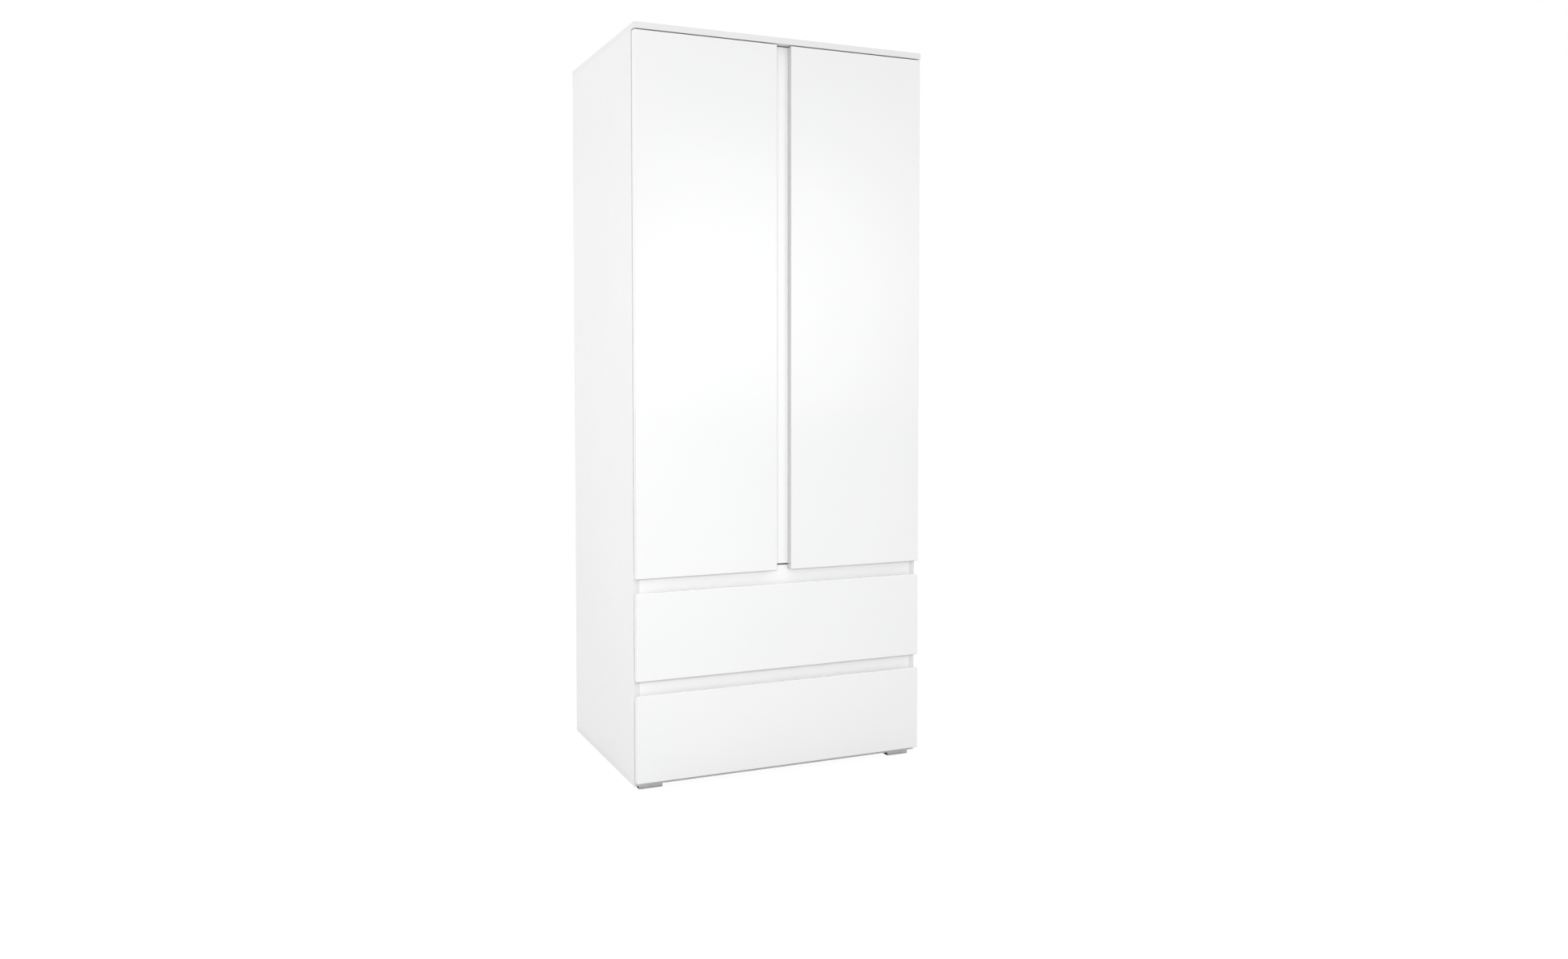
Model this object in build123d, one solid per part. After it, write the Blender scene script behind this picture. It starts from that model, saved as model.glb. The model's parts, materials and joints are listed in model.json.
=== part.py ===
from build123d import *
import os

os.makedirs("parts", exist_ok=True)

# A two-door wardrobe with two drawers, in millimetres. +Z is up, the fronts face -Y, and the
# origin is on the floor under the middle of the wardrobe.

# Overall size
WIDTH = 820
DEPTH = 600
HEIGHT = 1950

# Boards
BOARD = 16
FRONT_BOARD = 22
BACK_BOARD = 3
DRAWER_BOARD = 12
DRAWER_BASE = 3

# Feet
FOOT_HEIGHT = 12
FOOT_SIZE = 64
FOOT_INSET = 15
FOOT_SETBACK = 8

# Fronts and the grip grooves between them
FRONT_GAP = 3
FRONT_EDGE_INSET = 1.5
FRONT_ROUNDING = 1.5
GROOVE = 37
MIDDLE_GROOVE = 40
DRAWER_FRONT_HEIGHT = 226
LOWEST_FRONT = 24
GRIP_LIP = 9
GRIP_UNDERCUT = 12

# The upright strip behind the middle groove, and the level rails behind the other two
STRIP_THICKNESS = 16
STRIP_OVERLAP = 40
STRIP_GAP = 2.5
RAIL_ABOVE_GROOVE = 10
RAIL_BELOW_GROOVE = 28
STRIP_RAIL_GAP = 4.5

# Places worked out from the sizes above
HALF = WIDTH / 2
FACE_Y = -DEPTH / 2
FRONT_BACK_Y = FACE_Y + FRONT_BOARD
CARCASS_Y = FRONT_BACK_Y + FRONT_GAP
REAR_Y = DEPTH / 2
PANEL_REAR_Y = REAR_Y - BACK_BOARD
INNER_X = HALF - BOARD
SIDE_MIDDLE_X = HALF - BOARD / 2
BASE_TOP = FOOT_HEIGHT + BOARD
TOP_UNDERSIDE = HEIGHT - BOARD
LOWER_FRONT_Z = LOWEST_FRONT
UPPER_FRONT_Z = LOWER_FRONT_Z + DRAWER_FRONT_HEIGHT + GROOVE
DOOR_BOTTOM = UPPER_FRONT_Z + DRAWER_FRONT_HEIGHT + GROOVE
DOOR_TOP = TOP_UNDERSIDE - FRONT_GAP
DOOR_INNER_X = MIDDLE_GROOVE / 2
DOOR_OUTER_X = HALF - FRONT_EDGE_INSET
STRIP_REAR_Y = FRONT_BACK_Y + STRIP_THICKNESS
STRIP_BOTTOM = DOOR_BOTTOM + RAIL_ABOVE_GROOVE + STRIP_RAIL_GAP
RAIL_REAR_Y = CARCASS_Y + STRIP_THICKNESS
DIVIDER_TOP = DOOR_BOTTOM - 2
DIVIDER_BACK_GAP = 2

# Inside fittings
HAT_SHELF_Z = 1630
HAT_SHELF_FRONT_Y = -245
SHELF_PIN_RADIUS = 2.5
HAT_SHELF_BACK_GAP = 12
HAT_SHELF_SIDE_GAP = 1
SHELF_PIN_YS = (-190, 230)
PIN_HOLE_PITCH = 32
PIN_HOLE_DEPTH = 11
PIN_HOLES_BELOW = 8
PIN_HOLES_ABOVE = 6
CLOTHES_RAIL_Z = 1570
CLOTHES_RAIL_HEIGHT = 30
CLOTHES_RAIL_THICKNESS = 15
CLOTHES_RAIL_WALL = 1.2
SOCKET_WALL = 3
SOCKET_DEPTH = 12

# Cup hinges: three to a door. The arm's outline is drawn from the link's axis.
HINGE_END_SPACE = 100
HINGE_ZS = (DOOR_BOTTOM + HINGE_END_SPACE, (DOOR_BOTTOM + DOOR_TOP) / 2, DOOR_TOP - HINGE_END_SPACE)
CUP_FROM_EDGE = 22.5
CUP_X = DOOR_OUTER_X - CUP_FROM_EDGE
CUP_RADIUS = 17.5
CUP_DEPTH = 12
CUP_WALL = 1
CUP_FLANGE = 1.2
CUP_FLANGE_LENGTH = 62
CUP_SCREW_SPACING = 48
PLATE_SETBACK = 37
PLATE_SCREW_SPACING = 32
LINK_AXIS_X = INNER_X - 10
LINK_AXIS_Y = FACE_Y + 20
LINK_PIN_RADIUS = 1.5
ARM_WIDTH = 18
ARM_SLOT_WIDTH = 13
LINK_WIDTH = 9.2
LINK_REACH = (-11.5, -4.1)
ARM_OUTLINE = [(2, 66), (2, 18), (3, 4), (2.8, -2.5), (-2.5, -2.5), (-4, 6), (-10, 18), (-10, 66)]

# Screws: head radius, thread radius, and how deep they go
HARDWARE_SCREW = (3.4, 1.8)
BOARD_SCREW = (3.5, 1.8)
RUNNER_SCREW = (2.9, 1.7)
SMALL_SCREW = (3, 1.5)
FOOT_SCREW = (4, 2)
SCREW_DEPTH = 11

# Roller runners
RUNNER_GAP = 12.5
RUNNER_SHEET = 1.2
RUNNER_LENGTH = 500
RUNNER_HEIGHT = 32
RUNNER_FLANGE = 10.5
ROLLER_RADIUS = 10
ROLLER_NEAR = 2.2
ROLLER_FAR = 9.8
AXLE_RADIUS = 3
AXLE_PLAY = 0.05
ROLLER_PLAY = 0.2
RUNNING_FLANGE_Z = 23.2
RUNNER_DROP = 4
RUNNER_SCREW_YS = (-235, -75, 85, 205)
DRAWER_LENGTH = 500
DRAWER_HEIGHT = 150
DRAWER_LIFT = 18
BASE_LIFT = 10
BASE_GROOVE = 6

# Cams, bolts, dowels and nails
DOWEL_RADIUS = 4
DOWEL_IN_FACE = 10
DOWEL_IN_EDGE = 20
CAM_RADIUS = 7.5
CAM_DEPTH = 12.5
CAM_PLACE = 34
BOLT_RADIUS = 3
BOLT_IN_FACE = 10
BOLT_IN_EDGE = 30
JOINT_YS = (-215, 245)
DOWEL_YS = (-170, 10, 200)
NAIL_LENGTH = 20
NAIL_RADIUS = 0.8
NAIL_HEAD_RADIUS = 2
NAIL_HEAD = 0.8
NAIL_ZS = [40 + 120 * i for i in range(16)]
NAIL_XS = [-315 + 105 * i for i in range(7)]
SIDES = {"left": -1, "right": 1}


def block(x0, x1, y0, y1, z0, z1):
    """A block between two opposite corners, whichever way round they are given."""
    middle = ((x0 + x1) / 2, (y0 + y1) / 2, (z0 + z1) / 2)
    return Pos(*middle) * Box(abs(x1 - x0), abs(y1 - y0), abs(z1 - z0))


def rod(radius, start, end):
    """A round bar from one point to another."""
    start = Vector(*start)
    run = Vector(*end) - start
    across = Plane(origin=start, z_dir=run)
    return across.location * Cylinder(radius, run.length, align=(Align.CENTER, Align.CENTER, Align.MIN))


def screw(head_radius, radius, start, end):
    """A countersunk screw with its head at start and its tip at end."""
    start = Vector(*start)
    run = Vector(*end) - start
    across = Plane(origin=start, z_dir=run)
    head_height = head_radius - radius
    head = Cone(head_radius, radius, head_height, align=(Align.CENTER, Align.CENTER, Align.MIN))
    slot = Box(head_radius * 1.2, 0.8, 0.8) + Box(0.8, head_radius * 1.2, 0.8)
    shank = Cylinder(radius, run.length, align=(Align.CENTER, Align.CENTER, Align.MIN))
    return across.location * (head + shank - slot)


def prism(points, plane, length):
    """A closed outline drawn on a plane and pulled along the plane's normal."""
    outline = plane * make_face(Polyline(*points, close=True))
    return extrude(outline, length)


def mirrored(shape, side):
    """The shape as drawn for the right side, or its mirror image on the left."""
    return shape if side > 0 else mirror(shape, about=Plane.YZ)


def round_face_edges(solid, y, radius):
    """Round the edges that lie on the flat face at this y."""
    face_edges = solid.edges().filter_by(lambda edge: abs(edge.center().Y - y) < 0.01)
    return fillet(face_edges, radius)


def cut(solid, tools):
    """Cut pockets for other pieces, dropping the chip that each screw's drive slot leaves."""
    pieces = (solid - tools).solids().sort_by(SortBy.VOLUME)
    return pieces[-1]


def write(name, *solids):
    """Write one sub-part, as one solid or as a group of separate ones."""
    shape = solids[0] if len(solids) == 1 else Compound(list(solids))
    export_step(shape, f"parts/{name}.step")


# Fasteners that hold the carcass together

def standing_joint(face_z, up, y):
    """Bolt and cam where a side panel meets a panel above (up = 1) or below (-1)."""
    cam_z = face_z - up * CAM_PLACE
    bolt = rod(BOLT_RADIUS, (SIDE_MIDDLE_X, y, face_z + up * BOLT_IN_FACE),
               (SIDE_MIDDLE_X, y, face_z - up * BOLT_IN_EDGE))
    cam = rod(CAM_RADIUS, (INNER_X, y, cam_z), (INNER_X + CAM_DEPTH, y, cam_z))
    return bolt, cam - bolt


def shelf_joint(middle_z, y):
    """Bolt and cam where the divider shelf's end meets a side panel."""
    cam_x = INNER_X - CAM_PLACE
    bolt = rod(BOLT_RADIUS, (INNER_X + BOLT_IN_FACE, y, middle_z), (INNER_X - BOLT_IN_EDGE, y, middle_z))
    cam_z = middle_z - BOARD / 2
    cam = rod(CAM_RADIUS, (cam_x, y, cam_z), (cam_x, y, cam_z + CAM_DEPTH))
    return bolt, cam - bolt


def carcass_fasteners():
    """Cam bolts, cam locks and dowels of both sides of the carcass."""
    bolts = []
    cams = []
    dowels = []
    divider_z = DIVIDER_TOP - BOARD / 2
    for side in SIDES.values():
        for y in JOINT_YS:
            joints = [standing_joint(TOP_UNDERSIDE, 1, y), standing_joint(BASE_TOP, -1, y),
                      shelf_joint(divider_z, y)]
            for bolt, cam in joints:
                bolts.append(mirrored(bolt, side))
                cams.append(mirrored(cam, side))
        for y in DOWEL_YS:
            dowels.append(mirrored(standing_dowel(TOP_UNDERSIDE, 1, y), side))
            dowels.append(mirrored(standing_dowel(BASE_TOP, -1, y), side))
            dowels.append(mirrored(level_dowel(y + 20, divider_z), side))
        for front_z in (LOWER_FRONT_Z, UPPER_FRONT_Z):
            dowels += [mirrored(level_dowel(CARCASS_Y + STRIP_THICKNESS / 2, z), side)
                       for z in grip_rail_dowel_zs(front_z)]
    return bolts, cams, dowels


def standing_dowel(face_z, up, y):
    """A dowel where a side panel meets a panel above (up = 1) or below (-1)."""
    return rod(DOWEL_RADIUS, (SIDE_MIDDLE_X, y, face_z + up * DOWEL_IN_FACE),
               (SIDE_MIDDLE_X, y, face_z - up * DOWEL_IN_EDGE))


def level_dowel(y, z):
    """A dowel from the end of a level board into the right side panel."""
    return rod(DOWEL_RADIUS, (INNER_X + DOWEL_IN_FACE, y, z), (INNER_X - DOWEL_IN_EDGE, y, z))


def back_nails():
    """Short nails through the back panels into the rear edges of the carcass."""
    nails = []
    places = [(side * SIDE_MIDDLE_X, z) for side in SIDES.values() for z in NAIL_ZS]
    places += [(x, z) for x in NAIL_XS for z in (FOOT_HEIGHT + BOARD / 2, HEIGHT - BOARD / 2)]
    for x, z in places:
        shank = rod(NAIL_RADIUS, (x, REAR_Y - NAIL_LENGTH, z), (x, REAR_Y, z))
        head = rod(NAIL_HEAD_RADIUS, (x, REAR_Y - NAIL_HEAD, z), (x, REAR_Y, z))
        nails.append(shank + head)
    return nails


# Feet

def foot(side, front):
    """A low flat foot: a square metal pad, screwed under the bottom panel."""
    x0 = side * (HALF - FOOT_INSET)
    x1 = x0 - side * FOOT_SIZE
    y0 = CARCASS_Y + FOOT_SETBACK if front else PANEL_REAR_Y - FOOT_SETBACK
    y1 = y0 + FOOT_SIZE if front else y0 - FOOT_SIZE
    pad = block(x0, x1, y0, y1, 0, FOOT_HEIGHT)
    pad = fillet(pad.edges().filter_by(Axis.Z), 2)
    return chamfer(pad.faces().sort_by(Axis.Z)[0].edges(), 0.8)


def foot_screw_pair(side, front):
    """Two screws up through a foot into the bottom panel."""
    x = side * (HALF - FOOT_INSET - FOOT_SIZE / 2)
    y = CARCASS_Y + FOOT_SETBACK + FOOT_SIZE / 2 if front else PANEL_REAR_Y - FOOT_SETBACK - FOOT_SIZE / 2
    places = [(x + step, y + step) for step in (-16, 16)]
    return [screw(*FOOT_SCREW, (*place, 0.5), (*place, FOOT_HEIGHT + SCREW_DEPTH)) for place in places]


# Carcass boards

def back_panels():
    """Two thin back panels and the plastic strip that joins them."""
    middle_z = HEIGHT / 2
    edge_x = HALF - 1
    lower = block(-edge_x, edge_x, PANEL_REAR_Y, REAR_Y, FOOT_HEIGHT + 1, middle_z - 0.6)
    upper = block(-edge_x, edge_x, PANEL_REAR_Y, REAR_Y, middle_z + 0.6, HEIGHT - 1)
    web = block(-INNER_X + 2, INNER_X - 2, PANEL_REAR_Y - 1, REAR_Y, middle_z - 0.6, middle_z + 0.6)
    inside_lip = block(-INNER_X + 2, INNER_X - 2, PANEL_REAR_Y - 1, PANEL_REAR_Y, middle_z - 8, middle_z + 8)
    return lower, upper, web + inside_lip


def side_panel():
    """The right side panel."""
    return block(INNER_X, HALF, CARCASS_Y, PANEL_REAR_Y, BASE_TOP, TOP_UNDERSIDE)


def top_panel():
    """The top panel, which runs forward over the doors."""
    panel = block(-HALF, HALF, FACE_Y, PANEL_REAR_Y, TOP_UNDERSIDE, HEIGHT)
    return fillet(panel.edges().filter_by(lambda edge: abs(edge.center().Z - HEIGHT) < 0.01), 0.8)


def divider_shelf():
    """The shelf between the hanging space and the drawers, behind the upper grip rail."""
    rear_y = PANEL_REAR_Y - DIVIDER_BACK_GAP
    return block(-INNER_X, INNER_X, RAIL_REAR_Y, rear_y, DIVIDER_TOP - BOARD, DIVIDER_TOP)


def grip_rail(front_z):
    """The level rail behind the groove above a drawer front, fixed between the side panels."""
    groove_z = front_z + DRAWER_FRONT_HEIGHT
    return block(-INNER_X, INNER_X, CARCASS_Y, RAIL_REAR_Y, groove_z - RAIL_BELOW_GROOVE,
                 groove_z + GROOVE + RAIL_ABOVE_GROOVE)


def grip_rail_dowel_zs(front_z):
    """The heights of the two dowels in each end of a grip rail."""
    groove_z = front_z + DRAWER_FRONT_HEIGHT
    return groove_z - RAIL_BELOW_GROOVE / 2, groove_z + GROOVE - RAIL_ABOVE_GROOVE


# Inside fittings

def hat_shelf():
    """The loose shelf above the clothes rail."""
    edge_x = INNER_X - HAT_SHELF_SIDE_GAP
    return block(-edge_x, edge_x, HAT_SHELF_FRONT_Y, PANEL_REAR_Y - HAT_SHELF_BACK_GAP, HAT_SHELF_Z,
                 HAT_SHELF_Z + BOARD)


def rail_outline(grow):
    """The clothes rail's oval section, grown all round, standing on its narrow end."""
    oval = SlotOverall(CLOTHES_RAIL_HEIGHT + 2 * grow, CLOTHES_RAIL_THICKNESS + 2 * grow, rotation=90)
    return Plane(origin=(0, 0, CLOTHES_RAIL_Z), x_dir=(0, 1, 0), z_dir=(1, 0, 0)) * oval


def clothes_rail():
    """An oval tube between the side panels."""
    length = 2 * (INNER_X - SOCKET_WALL)
    tube = extrude(rail_outline(0) - rail_outline(-CLOTHES_RAIL_WALL), length)
    return Pos(-length / 2, 0, 0) * tube


def rail_socket(side):
    """A cup with a flange that holds one end of the rail against a side panel."""
    cup = extrude(rail_outline(2.5), SOCKET_DEPTH) - extrude(rail_outline(0), SOCKET_DEPTH - SOCKET_WALL)
    flange = extrude(rail_outline(7), SOCKET_WALL)
    socket = Pos(INNER_X - SOCKET_DEPTH, 0, 0) * cup + Pos(INNER_X - SOCKET_WALL, 0, 0) * flange
    return mirrored(socket, side)


def rail_socket_screws(side):
    """Two screws through each socket's flange."""
    offset = CLOTHES_RAIL_HEIGHT / 2 + 4
    zs = (CLOTHES_RAIL_Z - offset, CLOTHES_RAIL_Z + offset)
    start_x = INNER_X - SOCKET_WALL
    end_x = INNER_X + SCREW_DEPTH
    return [mirrored(screw(*SMALL_SCREW, (start_x, 0, z), (end_x, 0, z)), side) for z in zs]


def shelf_pins():
    """Four pins that carry the hat shelf."""
    pins = []
    for side in SIDES.values():
        for y in SHELF_PIN_YS:
            z = HAT_SHELF_Z - SHELF_PIN_RADIUS - 1
            pin = rod(SHELF_PIN_RADIUS, (INNER_X - 8, y, z), (INNER_X + 9, y, z))
            plate = block(INNER_X - 10, INNER_X, y - 5, y + 5, HAT_SHELF_Z - 2, HAT_SHELF_Z)
            pins.append(mirrored(pin + plate, side))
    return pins


def spare_pin_holes():
    """Rows of holes in the right side panel, where the hat shelf's pins can be moved to."""
    pin_z = HAT_SHELF_Z - SHELF_PIN_RADIUS - 1
    steps = [step for step in range(-PIN_HOLES_BELOW, PIN_HOLES_ABOVE + 1) if step != 0]
    return [rod(SHELF_PIN_RADIUS, (INNER_X, y, pin_z + PIN_HOLE_PITCH * step),
                (INNER_X + PIN_HOLE_DEPTH, y, pin_z + PIN_HOLE_PITCH * step))
            for y in SHELF_PIN_YS for step in steps]


# Cup hinges, drawn for the right door and mirrored for the left

def hinge_plate(z):
    """The cross-shaped plate screwed to the side panel."""
    hole_y = CARCASS_Y + PLATE_SETBACK
    base = block(INNER_X - 2, INNER_X, hole_y - 9, hole_y + 9, z - 24, z + 24)
    bridge = block(INNER_X - 8, INNER_X - 2, hole_y - 20, hole_y + 20, z - 6, z + 6)
    return base + bridge


def hinge_plate_screws(z):
    """The two screws of one mounting plate."""
    hole_y = CARCASS_Y + PLATE_SETBACK
    zs = (z - PLATE_SCREW_SPACING / 2, z + PLATE_SCREW_SPACING / 2)
    return [screw(*HARDWARE_SCREW, (INNER_X - 2, hole_y, hole_z), (INNER_X + SCREW_DEPTH, hole_y, hole_z))
            for hole_z in zs]


def hinge_arm(z):
    """The arm clipped over the plate, with a nose that reaches into the cup."""
    outline = [(LINK_AXIS_X + across, LINK_AXIS_Y + along) for across, along in ARM_OUTLINE]
    face_x = LINK_AXIS_X + ARM_OUTLINE[-1][0]
    rear_y = LINK_AXIS_Y + ARM_OUTLINE[0][1]
    arm = Pos(0, 0, z - ARM_WIDTH / 2) * prism(outline, Plane.XY, ARM_WIDTH)
    slot = block(face_x + 2, INNER_X, LINK_AXIS_Y + 12, rear_y,
                 z - ARM_SLOT_WIDTH / 2, z + ARM_SLOT_WIDTH / 2)
    fork = block(face_x, INNER_X, FACE_Y, LINK_AXIS_Y + 8, z - LINK_WIDTH / 2 - 0.4, z + LINK_WIDTH / 2 + 0.4)
    pin = rod(LINK_PIN_RADIUS, (LINK_AXIS_X, LINK_AXIS_Y, z - ARM_WIDTH / 2),
              (LINK_AXIS_X, LINK_AXIS_Y, z + ARM_WIDTH / 2))
    screw_y = CARCASS_Y + PLATE_SETBACK
    screw_head = rod(3.2, (face_x, screw_y, z), (face_x - 1.4, screw_y, z))
    return arm - slot - fork + pin + screw_head


def hinge_link(z):
    """The link that swings on the arm's pin and reaches into the cup."""
    half = LINK_WIDTH / 2
    tip_x = LINK_AXIS_X + LINK_REACH[0]
    tip_y = LINK_AXIS_Y + LINK_REACH[1]
    eye = rod(2.6, (LINK_AXIS_X, LINK_AXIS_Y, z - half), (LINK_AXIS_X, LINK_AXIS_Y, z + half))
    bar = prism([(LINK_AXIS_X, LINK_AXIS_Y + 1), (LINK_AXIS_X, LINK_AXIS_Y - 1), (tip_x, tip_y - 1),
                 (tip_x, tip_y + 1)], Plane.XY, LINK_WIDTH)
    tip = rod(1.4, (tip_x, tip_y, z - half), (tip_x, tip_y, z + half))
    bore = rod(LINK_PIN_RADIUS + AXLE_PLAY, (LINK_AXIS_X, LINK_AXIS_Y, z - half - 1),
               (LINK_AXIS_X, LINK_AXIS_Y, z + half + 1))
    return eye + Pos(0, 0, z - half) * bar + tip - bore


def hinge_cup(z):
    """The cup let into the door's back, with its flange."""
    floor_y = FRONT_BACK_Y - CUP_DEPTH
    cup = rod(CUP_RADIUS, (CUP_X, FRONT_BACK_Y, z), (CUP_X, floor_y, z))
    flange = block(CUP_X - 22, CUP_X + 6, FRONT_BACK_Y, FRONT_BACK_Y + CUP_FLANGE,
                   z - CUP_FLANGE_LENGTH / 2, z + CUP_FLANGE_LENGTH / 2)
    flange = fillet(flange.edges().filter_by(Axis.Y), 6)
    hollow = rod(CUP_RADIUS - CUP_WALL, (CUP_X, FRONT_BACK_Y + 2, z), (CUP_X, floor_y + CUP_WALL, z))
    return cup + flange - hollow


def cup_screws(z):
    """The two screws of one hinge cup."""
    screw_x = CUP_X - 8
    head_y = FRONT_BACK_Y + CUP_FLANGE
    zs = (z - CUP_SCREW_SPACING / 2, z + CUP_SCREW_SPACING / 2)
    return [screw(*HARDWARE_SCREW, (screw_x, head_y, hole_z), (screw_x, head_y - SCREW_DEPTH, hole_z))
            for hole_z in zs]


# Doors

def door_panel(undercut):
    """A door, drawn on the right. With an undercut, its inner edge is a thin lip to pull by."""
    outline = [(DOOR_INNER_X, FACE_Y), (DOOR_OUTER_X, FACE_Y), (DOOR_OUTER_X, FRONT_BACK_Y)]
    if undercut:
        outline += [(DOOR_INNER_X + GRIP_UNDERCUT, FRONT_BACK_Y), (DOOR_INNER_X, FACE_Y + GRIP_LIP)]
    else:
        outline += [(DOOR_INNER_X, FRONT_BACK_Y)]
    panel = Pos(0, 0, DOOR_BOTTOM) * prism(outline, Plane.XY, DOOR_TOP - DOOR_BOTTOM)
    return round_face_edges(panel, FACE_Y, FRONT_ROUNDING)


def door_strip():
    """The upright strip behind the middle groove, fixed to the right door's back."""
    return block(-DOOR_INNER_X + STRIP_GAP, DOOR_INNER_X + GRIP_UNDERCUT + STRIP_OVERLAP, FRONT_BACK_Y,
                 STRIP_REAR_Y, STRIP_BOTTOM, DOOR_TOP)


def door_strip_screws():
    """Screws that hold the upright strip to the right door."""
    screw_x = DOOR_INNER_X + GRIP_UNDERCUT + STRIP_OVERLAP / 2
    count = 6
    end_space = 100
    pitch = (DOOR_TOP - DOOR_BOTTOM - 2 * end_space) / (count - 1)
    zs = [DOOR_BOTTOM + end_space + pitch * i for i in range(count)]
    return [screw(*BOARD_SCREW, (screw_x, STRIP_REAR_Y, z), (screw_x, FACE_Y + 8, z)) for z in zs]


def door_bumpers():
    """Soft stops on the door's back, near its outer corners."""
    x = INNER_X + 4
    rear_y = FRONT_BACK_Y + FRONT_GAP - 0.4
    return [rod(3, (x, FRONT_BACK_Y, z), (x, rear_y, z)) for z in (DOOR_BOTTOM + 30, DOOR_TOP - 30)]


# Drawers. Each is placed by the height of its front's bottom edge.

def drawer_front(front_z):
    """A drawer front. Its top edge is a thin lip with an undercut behind it."""
    top = front_z + DRAWER_FRONT_HEIGHT
    outline = [(FACE_Y, front_z), (FRONT_BACK_Y, front_z), (FRONT_BACK_Y, top - GRIP_UNDERCUT),
               (FACE_Y + GRIP_LIP, top), (FACE_Y, top)]
    across = Plane(origin=(-DOOR_OUTER_X, 0, 0), x_dir=(0, 1, 0), z_dir=(1, 0, 0))
    front = prism(outline, across, 2 * DOOR_OUTER_X)
    return round_face_edges(front, FACE_Y, FRONT_ROUNDING)


def runner_z(front_z):
    """The height of the bottom of a drawer's cabinet runners."""
    return front_z + DRAWER_LIFT - RUNNER_SHEET - RUNNER_DROP


def drawer_sides(front_z):
    """The left and right sides, without their grooves."""
    outer_x = INNER_X - RUNNER_GAP
    rear_y = FRONT_BACK_Y + DRAWER_LENGTH
    z0 = front_z + DRAWER_LIFT
    side = block(outer_x - DRAWER_BOARD, outer_x, FRONT_BACK_Y, rear_y, z0, z0 + DRAWER_HEIGHT)
    return {name: mirrored(side, sign) for name, sign in SIDES.items()}


def drawer_back(front_z):
    """The drawer's back, standing on the base between the sides."""
    end_x = INNER_X - RUNNER_GAP - DRAWER_BOARD
    rear_y = FRONT_BACK_Y + DRAWER_LENGTH
    z0 = front_z + DRAWER_LIFT
    return block(-end_x, end_x, rear_y - DRAWER_BOARD, rear_y, z0 + BASE_LIFT + DRAWER_BASE,
                 z0 + DRAWER_HEIGHT)


def drawer_base(front_z):
    """The thin base, held in grooves in the sides and the front."""
    end_x = INNER_X - RUNNER_GAP - DRAWER_BOARD + BASE_GROOVE
    rear_y = FRONT_BACK_Y + DRAWER_LENGTH
    z0 = front_z + DRAWER_LIFT + BASE_LIFT
    return block(-end_x, end_x, FRONT_BACK_Y - BASE_GROOVE, rear_y, z0, z0 + DRAWER_BASE)


def drawer_bolts_and_cams(front_z):
    """Cam bolts from the front into both sides, and the cam locks in the sides."""
    side_x = INNER_X - RUNNER_GAP - DRAWER_BOARD / 2
    inner_x = side_x - DRAWER_BOARD / 2
    pieces = []
    for side in SIDES.values():
        for rise in (35, 115):
            z = front_z + DRAWER_LIFT + rise
            bolt = rod(BOLT_RADIUS - 0.5, (side_x, FRONT_BACK_Y - 9, z), (side_x, FRONT_BACK_Y + 20, z))
            cam_y = FRONT_BACK_Y + 24
            cam = rod(6, (inner_x, cam_y, z), (inner_x + 9, cam_y, z)) - bolt
            pieces += [mirrored(bolt, side), mirrored(cam, side)]
    return pieces


def drawer_back_screws(front_z):
    """Screws through both sides into the drawer's back."""
    outer_x = INNER_X - RUNNER_GAP
    y = FRONT_BACK_Y + DRAWER_LENGTH - DRAWER_BOARD / 2
    zs = (front_z + DRAWER_LIFT + 45, front_z + DRAWER_LIFT + 120)
    return [mirrored(screw(*BOARD_SCREW, (outer_x, y, z), (outer_x - 38, y, z)), side)
            for side in SIDES.values() for z in zs]


# Roller runners, drawn for the right side and mirrored for the left

def cabinet_runner(front_z):
    """The fixed channel on the side panel, with the axle of its front roller."""
    z0 = runner_z(front_z)
    front_y = CARCASS_Y + 3
    rear_y = front_y + RUNNER_LENGTH
    flange_x = INNER_X - RUNNER_FLANGE
    channel = block(flange_x, INNER_X, front_y, rear_y, z0, z0 + RUNNER_HEIGHT)
    hollow = block(flange_x - 1, INNER_X - RUNNER_SHEET, front_y - 1, rear_y + 1,
                   z0 + RUNNER_SHEET, z0 + RUNNER_HEIGHT - RUNNER_SHEET)
    y, z = front_roller_axis(front_z)
    axle = rod(AXLE_RADIUS, (INNER_X - RUNNER_SHEET, y, z), (INNER_X - ROLLER_FAR, y, z))
    return channel - hollow + axle


def front_roller_axis(front_z):
    """Where the cabinet runner's roller turns, in y and z."""
    return CARCASS_Y + 16, runner_z(front_z) + RUNNING_FLANGE_Z - ROLLER_RADIUS - ROLLER_PLAY


def rear_roller_axis(front_z):
    """Where the drawer runner's roller turns, in y and z, with the drawer shut."""
    return FRONT_BACK_Y + DRAWER_LENGTH - 12, runner_z(front_z) + RUNNER_SHEET + ROLLER_RADIUS + ROLLER_PLAY


def roller(y, z):
    """A nylon roller with a slightly rounded tread."""
    wheel = rod(ROLLER_RADIUS, (INNER_X - ROLLER_NEAR, y, z), (INNER_X - ROLLER_FAR, y, z))
    wheel = fillet(wheel.edges(), 0.8)
    return wheel - rod(AXLE_RADIUS + AXLE_PLAY, (INNER_X, y, z), (INNER_X - RUNNER_GAP, y, z))


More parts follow.
